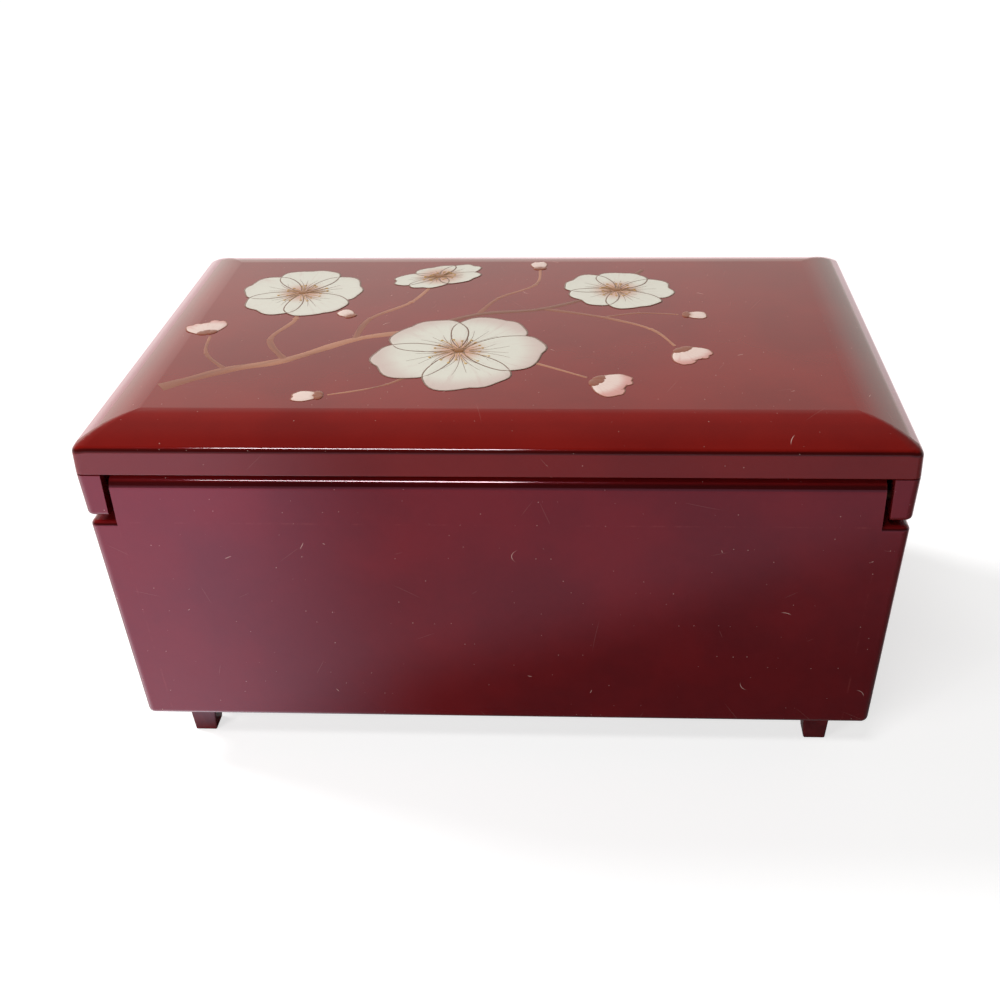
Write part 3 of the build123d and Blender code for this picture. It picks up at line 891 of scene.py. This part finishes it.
@dataclass
class BlossomSpray:
    """Painted spray on the lid's flat top: five-petalled blossoms and buds on a knotted branch."""

    finishes: Finishes
    top_z: float
    petal_count: int = 5
    rim_points: int = 44
    petal_foot: float = 0.06
    notch_depth: float = 0.05
    notch_width: float = 0.35
    petal_lift: float = 0.05
    petal_step: float = 0.012
    outline_width: float = 0.42
    vein_widths: tuple[Range, ...] = (
        (0.2, 0.2), (0.35, 0.19), (0.5, 0.17), (0.65, 0.15), (0.8, 0.12), (0.92, 0.09), (1.0, 0.05))
    stamen_count: int = 18
    stamen_widths: tuple[Range, ...] = ((0.15, 0.3), (0.4, 0.24), (0.7, 0.2), (1.0, 0.2))
    anther_radius: float = 0.42
    heart_radius: float = 1.3
    twigs: tuple[Twig, ...] = (
        Twig(((-85, -38), (-71, -28), (-57, -22), (-41, -9), (-26, -3), (-9, 8), (9, 12), (26, 24), (38, 42)),
             4.2, 1.3),
        Twig(((-57, -22), (-64, -9), (-60, 5), (-64, 18)), 2.2, 1.0),
        Twig(((-41, -9), (-39, 5), (-29, 17), (-24, 32)), 2.2, 0.9),
        Twig(((-26, -3), (-16, -14), (2, -20), (22, -32)), 2.0, 0.8),
        Twig(((9, 12), (26, 6), (39, -2), (45, -13)), 1.8, 0.8),
        Twig(((-9, 8), (-4, 20), (6, 30), (7, 42)), 1.6, 0.7),
        Twig(((-71, -28), (-79, -18), (-81, -7)), 1.5, 0.7),
        Twig(((26, 6), (36, 9), (47, 8)), 1.1, 0.6),
        Twig(((-16, -22), (-28, -36), (-42, -42)), 1.3, 0.6),
    )
    blossoms: tuple[Blossom, ...] = (
        Blossom((-62, 24), 18.5, 0.3),
        Blossom((-12, -16), 23.0, 1.1),
        Blossom((-23, 37), 14.0, 0.8, 0.6, 0.5),
        Blossom((30, 26), 16.5, 0.1, 0.85, -0.3),
    )
    buds: tuple[Bud, ...] = (
        Bud((-82, -6), 10.0, 1.9, 3),
        Bud((46, -14), 10.5, -1.0, 3),
        Bud((23, -33), 11.5, -0.5, 3),
        Bud((7, 42), 7.0, 1.7, 1),
        Bud((48, 8), 7.0, -0.1, 1),
        Bud((-43, -42), 8.0, 3.3, 1),
        Bud((-44, 6), 6.5, 2.3, 1),
    )

    def petal_outline(
        self, base: Point, length: float, width: float, turn: float, draws: random.Random,
    ) -> list[Point]:
        """Draw one round petal.

        Args:
            base: Where the petal is held.
            length: Its length.
            width: Its greatest width.
            turn: Direction in which it points.
            draws: Seeded random numbers for its uneven rim.

        Returns:
            Points round the petal.
        """
        phase, second_phase = draws.uniform(0, tau), draws.uniform(0, tau)
        outline = []
        for step in range(self.rim_points):
            angle = tau * step / self.rim_points
            swell = 0.5 - 0.5 * cos(angle)
            along = length * (self.petal_foot + (1 - self.petal_foot) * swell)
            across = width / 2 * sin(angle) * (0.55 + 0.62 * swell ** 0.75)
            rim = 1 + 0.02 * sin(3 * angle + phase) + 0.014 * sin(7 * angle + second_phase)
            notch = self.notch_depth * length * max(0.0, 1 - abs(angle - pi) / self.notch_width)
            outline.append(turned(base, along * rim - notch, across * rim, turn))
        return outline

    def paint_blossom(self, number: int, blossom: Blossom) -> None:
        """Paint one blossom: petals, their outlines and veins, and the stamens.

        Args:
            number: The blossom's number.
            blossom: Its place and size.
        """
        draws = random.Random(100 + number)
        petals, lines, stamens = (PaintLayer(blossom.centre, self.top_z) for _ in range(3))
        width = blossom.radius * 1.02
        for index in range(self.petal_count):
            turn = blossom.turn + tau * index / self.petal_count + draws.uniform(-0.07, 0.07)
            length = blossom.radius * draws.uniform(0.93, 1.05)
            outline = blossom.squeezed(
                self.petal_outline(blossom.centre, length, width * draws.uniform(0.93, 1.04), turn, draws))
            lift = self.petal_lift + self.petal_step * index
            petals.patch(outline, Relief.PETAL, lift)
            lines.line(outline, [self.outline_width] * len(outline), lift, 0.045, closed=True)
            for vein in range(-2, 3):
                reach = length * draws.uniform(0.5, 0.72) * (1 - 0.08 * abs(vein))
                spread = 0.17 * vein + draws.uniform(-0.03, 0.03)
                vein_path = blossom.squeezed([
                    polar(blossom.centre, reach * t, turn + spread * t * 1.5) for t, _ in self.vein_widths])
                lines.line(vein_path, [thick for _, thick in self.vein_widths], lift, 0.02)
        top_lift = self.petal_lift + self.petal_step * self.petal_count
        for index in range(self.stamen_count):
            turn = tau * index / self.stamen_count + draws.uniform(-0.1, 0.1)
            reach = blossom.radius * draws.uniform(0.24, 0.4)
            path = blossom.squeezed([
                polar(blossom.centre, reach * t, turn + 0.2 * t) for t, _ in self.stamen_widths])
            stamens.line(path, [thick for _, thick in self.stamen_widths], top_lift, 0.04)
            stamens.patch(circle(path[-1], self.anther_radius, 8), Relief.ANTHER, top_lift)
        stamens.patch(circle(blossom.centre, self.heart_radius, 16), Relief.HEART, top_lift)
        petals.finish(f"blossom_{number}_petals", self.finishes.petal)
        lines.finish(f"blossom_{number}_lines", self.finishes.outline)
        stamens.finish(f"blossom_{number}_stamens", self.finishes.stamen)

    def paint_bud(self, number: int, bud: Bud) -> None:
        """Paint one bud: folded petals held in a cup.

        Args:
            number: The bud's number.
            bud: Its place and size.
        """
        draws = random.Random(200 + number)
        petals, cup = (PaintLayer(bud.centre, self.top_z) for _ in range(2))
        spreads = {1: (0.0,), 3: (-0.42, 0.42, 0.0)}[bud.petals]
        for index, spread in enumerate(spreads):
            width = bud.length * (0.72 if bud.petals == 1 else 0.62)
            length = bud.length * (1 - 0.08 * index)
            outline = self.petal_outline(bud.centre, length, width, bud.turn + spread, draws)
            lift = self.petal_lift + self.petal_step * index
            petals.patch(outline, Relief.BUD, lift)
            cup.line(outline, [self.outline_width * 0.85] * len(outline), lift, 0.04, closed=True)
        for spread in (-0.75, 0.0, 0.75):
            length = bud.length * 0.36
            sepal = self.petal_outline(bud.centre, length, bud.length * 0.26, bud.turn + spread, draws)
            lift = self.petal_lift + self.petal_step * 4
            cup.patch(sepal, Relief.SEPAL, lift)
        petals.finish(f"bud_{number}_petals", self.finishes.bud)
        cup.finish(f"bud_{number}_cup", self.finishes.twig)

    def paint_twigs(self) -> None:
        """Paint the branch and its twigs, with knots where one leaves another."""
        draws = random.Random(300)
        for number, twig in enumerate(self.twigs, start=1):
            layer = PaintLayer(twig.points[0], self.top_z)
            path = smooth_path(list(twig.points))
            last = len(path) - 1
            widths = []
            for index in range(len(path)):
                taper = twig.start_width + (twig.end_width - twig.start_width) * (index / last) ** 0.7
                widths.append(taper * (1 + 0.16 * sin(index * 0.9 + number) * draws.uniform(0.4, 1.0)))
            layer.line(path, widths, 0.0, 0.03 + 0.01 * (number == 1))
            for point in twig.points[1:-1]:
                layer.patch(circle(point, twig.end_width * 0.8 + 0.2, 12, flat=0.8), Relief.KNOT)
            layer.finish(f"painted_twig_{number}", self.finishes.twig)

    def build(self) -> None:
        """Paint the whole spray."""
        self.paint_twigs()
        for number, blossom in enumerate(self.blossoms, start=1):
            self.paint_blossom(number, blossom)
        for number, bud in enumerate(self.buds, start=1):
            self.paint_bud(number, bud)


@dataclass
class LacqueredShell:
    """Wooden pieces of the case and the lid, which keep their solids."""

    nodes: dict[str, Piece]
    finishes: Finishes
    lid_board: str = "lid_board"
    base_panel: str = "base_panel"
    case_pieces: tuple[str, ...] = (
        "back_wall", "front_wall", "left_wall", "right_wall", "hinge_rail",
        "lid_cheek_left", "lid_cheek_right", "lid_front_rail",
    )
    feet: tuple[str, ...] = ("foot_back_left", "foot_back_right", "foot_front_left", "foot_front_right")

    def dress(self) -> None:
        """Lay the lacquer on every wooden piece."""
        dress(self.nodes[self.lid_board], self.finishes.lid_lacquer)
        dress(self.nodes[self.base_panel], self.finishes.base_lacquer)
        for name in self.case_pieces:
            dress(self.nodes[name], self.finishes.case_lacquer)
        for name in self.feet:
            dress(self.nodes[name], self.finishes.foot_lacquer)
        log.info("lacquered %d wooden pieces", len(self.case_pieces) + len(self.feet) + 2)


@dataclass
class Fittings:
    """Hinge pins, bumpers and the mirror, which keep their solids."""

    nodes: dict[str, Piece]
    finishes: Finishes
    pins: tuple[str, ...] = ("hinge_pin_left", "hinge_pin_right")
    bumpers: tuple[str, ...] = ("lid_bumper_left", "lid_bumper_right")
    mirror: str = "mirror"

    def dress(self) -> None:
        """Finish the pins, the bumpers and the mirror."""
        for name in self.pins:
            dress(self.nodes[name], self.finishes.brass)
        for name in self.bumpers:
            dress(self.nodes[name], self.finishes.felt)
        dress(self.nodes[self.mirror], self.finishes.silvering)
        log.info("dressed pins, bumpers and mirror")


@dataclass
class VelvetInterior:
    """Velvet pieces that take the place of the plain soft solids."""

    nodes: dict[str, Piece]
    finishes: Finishes
    case_boards: tuple[str, ...] = (
        "lining_back", "lining_front", "lining_left", "lining_right", "cross_divider", "long_divider",
        "short_divider", "shelf_ledge_inner", "shelf_ledge_outer", "ring_shelf",
    )
    roll_count: int = 6
    pads: tuple[str, ...] = ("pad_back", "pad_corner", "pad_front")
    board_edge: float = 0.45
    pad_edge: float = 0.6
    enlarged: float = 8.0
    voxel: float = 0.007
    pressure: float = 4.0
    frames: int = 20
    swell_cap: float = 0.008
    slack: tuple[float, float, float] = (0.985, 0.985, 0.94)
    resting_share: float = 0.9
    piping_radius: float = 0.55
    piping_sides: int = 10
    piping_steps: int = 6
    piping_inset: float = 1.1
    piping_height: float = 2.9
    piping_turn: float = 2.4
    pad_fill: float = 0.8
    roll_fill: float = 0.9

    def wrapped(self, node_name: str, edge: float) -> Form:
        """Copy a solid and round its edges as fabric does that is wrapped round a board.

        Args:
            node_name: The solid's node.
            edge: Radius of the rounding in millimetres.

        Returns:
            The rounded form.
        """
        form = bmesh.new()
        form.from_mesh(self.nodes[node_name].data)
        bmesh.ops.remove_doubles(form, verts=form.verts, dist=0.001 * MM)
        bmesh.ops.dissolve_limit(form, angle_limit=radians(1), verts=form.verts, edges=form.edges)
        sharp = [e for e in form.edges if len(e.link_faces) == 2 and e.calc_face_angle() > radians(35)]
        bmesh.ops.bevel(
            form, geom=sharp, offset=edge * MM, segments=3, profile=0.5, affect="EDGES", clamp_overlap=True)
        return form

    def cover(self, node_name: str, body: Body, edge: float) -> Piece:
        """Replace one solid by its velvet piece.

        Args:
            node_name: The solid's node.
            body: The body that it rides on.
            edge: Radius of the edges in millimetres.

        Returns:
            The velvet piece.
        """
        form = self.wrapped(node_name, edge)
        piece = mesh_piece(f"velvet_{node_name}", form, self.finishes.velvet, Vector())
        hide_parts(node_name)
        return hand_over(piece, body)

    def swell(self, piece: Piece) -> None:
        """Let a pad swell by a short cloth simulation on an enlarged copy.

        Args:
            piece: The pad, whose mesh is replaced by the swollen one.
        """
        low, high = (Vector(corner) for corner in self.corners(piece))
        middle = (low + high) / 2
        grow = Matrix.Diagonal((*(self.enlarged * share for share in self.slack), 1.0))
        piece.data.transform(grow @ Matrix.Translation(-middle))
        remesh = piece.modifiers.new("fine_mesh", "REMESH")
        remesh.mode = "VOXEL"
        remesh.voxel_size = self.voxel
        self.apply_modifiers(piece)
        start = [vertex.co.copy() for vertex in piece.data.vertices]
        cloth = piece.modifiers.new("stuffing", "CLOTH")
        cloth.settings.use_pressure = True
        cloth.settings.uniform_pressure_force = self.pressure
        cloth.settings.effector_weights.gravity = 0.0
        for frame in range(1, self.frames + 1):
            bpy.context.scene.frame_set(frame)
        self.apply_modifiers(piece)
        bpy.context.scene.frame_set(1)
        room = (high - low) / 2 * self.enlarged
        for vertex, first in zip(piece.data.vertices, start):
            move = vertex.co - first
            if move.length > self.swell_cap:
                move *= self.swell_cap / move.length
            place = first + move
            rests = first.z < -room.z * self.resting_share
            vertex.co = Vector((
                max(-room.x, min(room.x, place.x)), max(-room.y, min(room.y, place.y)),
                -room.z if rests else max(-room.z, min(room.z, place.z))))
        fine = piece.modifiers.new("fine_surface", "SUBSURF")
        fine.levels = fine.render_levels = 1
        self.apply_modifiers(piece)
        piece.data.transform(Matrix.Translation(middle) @ Matrix.Scale(1 / self.enlarged, 4))
        piece.data.shade_smooth()

    @staticmethod
    def corners(piece: Piece) -> tuple[tuple[float, ...], tuple[float, ...]]:
        """Give the lowest and the highest corner of a piece's mesh."""
        columns = list(zip(*(vertex.co for vertex in piece.data.vertices)))
        return tuple(min(column) for column in columns), tuple(max(column) for column in columns)

    @staticmethod
    def apply_modifiers(piece: Piece) -> None:
        """Turn what the modifiers show into the piece's own mesh."""
        bpy.context.view_layer.update()
        shown = piece.evaluated_get(bpy.context.evaluated_depsgraph_get())
        mesh = bpy.data.meshes.new_from_object(shown)
        piece.modifiers.clear()
        piece.data = mesh

    def pipe(self, node_name: str) -> None:
        """Sew a cord round the shoulder of a floor pad.

        Args:
            node_name: The pad's node.
        """
        low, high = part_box(node_name)
        half_x, half_y, _ = (high - low) / MM / 2 - Vector((1, 1, 0)) * self.piping_inset
        height = low.z / MM + self.piping_height
        path = []
        for turn, (side, end) in enumerate(((1, 1), (-1, 1), (-1, -1), (1, -1))):
            corner = (side * (half_x - self.piping_turn), end * (half_y - self.piping_turn))
            for step in range(self.piping_steps + 1):
                path.append(polar(corner, self.piping_turn, pi / 2 * (turn + step / self.piping_steps)))
        middle = (low + high) / 2
        form = bmesh.new()
        rings = []
        for index, (x, y) in enumerate(path):
            before, after = path[index - 1], path[(index + 1) % len(path)]
            run = Vector((after[0] - before[0], after[1] - before[1], 0)).normalized()
            side, up = Vector((run.y, -run.x, 0)), Vector((0, 0, 1))
            turns = [tau * k / self.piping_sides for k in range(self.piping_sides)]
            shifts = ((side * cos(t) + up * sin(t)) * self.piping_radius for t in turns)
            rings.append([form.verts.new((Vector((x, y, 0)) + shift) * MM) for shift in shifts])
        for first, second in zip(rings, rings[1:] + rings[:1]):
            bridge(form, first, second)
        origin = Vector((middle.x, middle.y, height * MM))
        hand_over(mesh_piece(f"piping_{node_name}", form, self.finishes.cord, origin), Body.CASE)

    def build_rolls(self) -> None:
        """Make the ring rolls; they are alike, so one is simulated and the rest take its form."""
        numbers = range(1, self.roll_count + 1)
        rolls = [self.cover(f"ring_roll_{number}", Body.CASE, self.pad_edge) for number in numbers]
        places = [Vector(self.corners(roll)[0]) for roll in rolls]
        self.swell(rolls[0])
        for roll, place in zip(rolls[1:], places[1:]):
            roll.data = rolls[0].data.copy()
            roll.data.transform(Matrix.Translation(place - places[0]))

    def build(self) -> None:
        """Make every velvet piece."""
        for name in self.case_boards:
            self.cover(name, Body.CASE, self.board_edge)
        self.cover("lid_lining", Body.LID, self.board_edge)
        self.build_rolls()
        for name in self.pads:
            pad = self.cover(name, Body.CASE, self.pad_edge)
            self.swell(pad)
            self.pipe(name)


@dataclass(frozen=True)
class PhotoCamera:
    """Camera solved from the outlines of the lid, the case and the rail."""

    focal_px: float = 1272.8
    middle_px: Point = (545.8, 389.6)
    yaw: float = -0.0481
    pitch: float = 0.4659
    roll: float = 0.019
    place_mm: tuple[float, float, float] = (25.36, -319.53, 241.34)
    image_px: float = 1000.0
    sensor_mm: float = 36.0
    nearest_m: float = 0.01

    def build(self) -> None:
        """Create the camera and make it the scene's own."""
        view = Vector((sin(self.yaw) * cos(self.pitch), cos(self.yaw) * cos(self.pitch), -sin(self.pitch)))
        level = Vector((cos(self.yaw), -sin(self.yaw), 0))
        down = view.cross(level)
        right = cos(self.roll) * level + sin(self.roll) * down
        up = sin(self.roll) * level - cos(self.roll) * down
        lens = bpy.data.cameras.new("photo_camera")
        lens.sensor_width = self.sensor_mm
        lens.lens = self.sensor_mm * self.focal_px / self.image_px
        lens.shift_x = (self.image_px / 2 - self.middle_px[0]) / self.image_px
        lens.shift_y = (self.middle_px[1] - self.image_px / 2) / self.image_px
        lens.clip_start = self.nearest_m
        camera = bpy.data.objects.new("photo_camera", lens)
        turn = Matrix((right, up, -view)).transposed()
        camera.matrix_world = Matrix.Translation(Vector(self.place_mm) * MM) @ turn.to_4x4()
        bpy.context.scene.collection.objects.link(camera)
        bpy.context.scene.camera = camera


@dataclass(frozen=True)
class Lamp:
    """Lamp that faces the box; a sun has an angle, a rectangular lamp a size."""

    name: str
    strength: float
    place: tuple[float, float, float]
    aim: tuple[float, float, float] = (0.0, -0.05, 0.08)
    size: Point = (0.0, 0.0)
    sun_angle: float = 0.0
    mirrored: bool = False

    def hang(self) -> None:
        """Make the lamp and turn it towards its aim."""
        light = bpy.data.lights.new(self.name, "SUN" if self.sun_angle else "AREA")
        light.energy = self.strength
        if self.sun_angle:
            light.angle = self.sun_angle
        else:
            light.shape = "RECTANGLE"
            light.size, light.size_y = self.size
        holder = bpy.data.objects.new(self.name, light)
        holder.location = self.place
        holder.rotation_euler = (Vector(self.place) - Vector(self.aim)).to_track_quat("Z", "Y").to_euler()
        holder.visible_camera = False
        holder.visible_glossy = self.mirrored
        bpy.context.scene.collection.objects.link(holder)
        log.info("%s hangs at %s", self.name, self.place)


@dataclass(frozen=True)
class Studio:
    """Pale floor that rises into a low rim all round, a soft key from the left and two lamps.

    The floor's edges are in millimetres, its skews say how far an edge turns from the box, and the lamps'
    sizes and places are in metres. The floor's painted shadow near the box and its painted glow at the
    front left show in reflections only.
    """

    floor_rings: tuple[float, ...] = (0.25, 0.8, 1.5)
    floor_sides: int = 96
    cove_width: float = 0.9
    cove_height: float = 0.22
    cove_steps: int = 12
    floor_shade: Colour = (0.48, 0.48, 0.48, 1.0)
    seen_glow: Colour = (0.7, 0.7, 0.7, 1.0)
    # glows that only reflections see: mirrored_glow and patch_glow are painted glow, and the shadow ranges
    # below make a painted shadow near the box
    mirrored_glow: Colour = (0.85, 0.66, 0.68, 1.0)
    patch_glow: Colour = (2.65, 2.65, 2.9, 1.0)
    patch_skew: float = -0.28
    patch_right_edge: Range = (-75.0, 5.0)
    patch_near_edge: Range = (-50.0, -58.0)
    patch_far_edge: Range = (-420.0, -280.0)
    patch_left_edge: Range = (-330.0, -200.0)
    mirrored_shadow_skew: float = 0.42
    mirrored_shadow_far_edge: Range = (-80.0, -118.0)
    mirrored_shadow_near_edge: Range = (-50.0, 10.0)
    room_tint: Colour = (1.0, 0.95, 0.88, 1.0)
    room_strength: float = 0.88
    overhead: Range = (0.25, 0.95)
    overhead_share: float = 0.2
    far_side: Range = (-0.3, 0.4)
    view_side_share: float = 0.1
    left_side: Range = (-0.4, 0.35)
    left_and_right_share: Range = (1.08, 0.76)
    horizon: Range = (0.05, 0.14)
    horizon_strength: float = 0.9
    key_turn: float = radians(157)
    key_height: float = radians(36)
    key_angle: float = radians(18)
    key_strength: float = 3.1
    lamps: tuple[Lamp, ...] = (
        Lamp("top_lamp", 6.0, (-0.28, -0.75, 1.25), size=(0.42, 0.16), mirrored=True),
        Lamp("side_lamp", 0.95, (-0.32, -0.36, 0.2), size=(0.16, 0.16)),
    )

    def build_floor(self) -> None:
        """Make the floor, flat in the middle and curved up at its rim."""
        profile = [(radius, 0.0) for radius in self.floor_rings]
        for step in range(1, self.cove_steps + 1):
            share = step / self.cove_steps
            profile.append((self.floor_rings[-1] + self.cove_width * share, self.cove_height * share ** 2))
        form = bmesh.new()
        rings = [[form.verts.new((x, y, height)) for x, y in circle((0, 0), radius, self.floor_sides)]
                 for radius, height in profile]
        form.faces.new(rings[0])
        for inner, outer in zip(rings, rings[1:]):
            bridge(form, outer, inner)
        material, graph, shader = new_material("pale_floor")
        rays = graph.node("ShaderNodeLightPath").outputs
        mirrored = graph.maths("ADD", rays["Is Glossy Ray"], rays["Is Transmission Ray"], clamp=True)
        across, deep, _ = graph.split(graph.place())
        # painted glow: a bright patch of the floor at the front left that glows for reflections only
        skewed = graph.maths("MULTIPLY_ADD", deep, self.patch_skew, across)
        patch = graph.remap(skewed, *self.patch_right_edge, 1.0, 0.0)
        for way, edge in (
                (deep, self.patch_near_edge), (deep, self.patch_far_edge), (across, self.patch_left_edge)):
            patch = graph.times(patch, graph.remap(way, *edge))
        # painted shadow: the floor near the box stays dark for reflections, in place of the box's shadow
        skewed = graph.maths("MULTIPLY_ADD", across, self.mirrored_shadow_skew, deep)
        far_of_painted_shadow = graph.remap(skewed, *self.mirrored_shadow_far_edge)
        away = graph.maths("MAXIMUM", far_of_painted_shadow, graph.remap(deep, *self.mirrored_shadow_near_edge))
        lit = graph.mix(patch, graph.mix(away, BLACK, self.mirrored_glow), self.patch_glow)
        unseen = graph.mix(mirrored, BLACK, lit)
        graph.lay(
            shader, base_color=self.floor_shade, roughness=0.9, specular_ior_level=0.0,
            emission_strength=1.0, emission_color=graph.mix(rays["Is Camera Ray"], unseen, self.seen_glow))
        mesh_piece("studio_floor", form, material, Vector())

    def build_world(self) -> None:
        """Make the room: a pale far side, darker overhead and on the side that the view comes from."""
        world = bpy.data.worlds.new("soft_room")
        world.use_nodes = True
        bpy.context.scene.world = world
        graph = NodeGraph(world.node_tree)
        background = world.node_tree.nodes["Background"]
        across, deep, up = graph.split(graph.node("ShaderNodeTexCoord").outputs["Generated"])
        darkening = graph.maths("POWER", graph.remap(up, *self.overhead, 1.0, 0.05), 2.0)
        low = graph.maths("MAXIMUM", darkening, self.overhead_share)
        far_side = graph.times(graph.remap(deep, *self.far_side, self.view_side_share, 1.0), low)
        left_side = graph.remap(across, *self.left_side, *self.left_and_right_share)
        room = graph.times(graph.times(far_side, left_side), self.room_strength)
        horizon = graph.remap(up, *self.horizon, self.horizon_strength, 0.0)
        in_view = graph.node("ShaderNodeLightPath").outputs["Is Camera Ray"]
        strength = graph.maths("MAXIMUM", graph.maths("MAXIMUM", room, horizon), in_view)
        graph.lay(background, color=graph.mix(in_view, self.room_tint, WHITE), strength=strength)

    def build_lamps(self) -> None:
        """Hang the key and the two lamps."""
        towards = (cos(self.key_turn) * cos(self.key_height), sin(self.key_turn) * cos(self.key_height),
                   sin(self.key_height))
        key = Lamp("key_window", self.key_strength, towards, aim=(0.0, 0.0, 0.0), sun_angle=self.key_angle)
        for lamp in (key, *self.lamps):
            lamp.hang()

    def build(self) -> None:
        """Build floor, world and lamps."""
        self.build_floor()
        self.build_world()
        self.build_lamps()
        bpy.context.scene.view_settings.view_transform = "Standard"


def main() -> None:
    """Load the frame and build the looks around it."""
    logging.basicConfig(level=logging.INFO, format="%(message)s")
    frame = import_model()
    nodes = frame["nodes"]
    finishes = Finishes()
    PhotoCamera().build()
    Studio().build()
    LacqueredShell(nodes, finishes).dress()
    Fittings(nodes, finishes).dress()
    VelvetInterior(nodes, finishes).build()
    BlossomSpray(finishes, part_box("lid_board")[1].z).build()


if __name__ == "__main__":
    main()
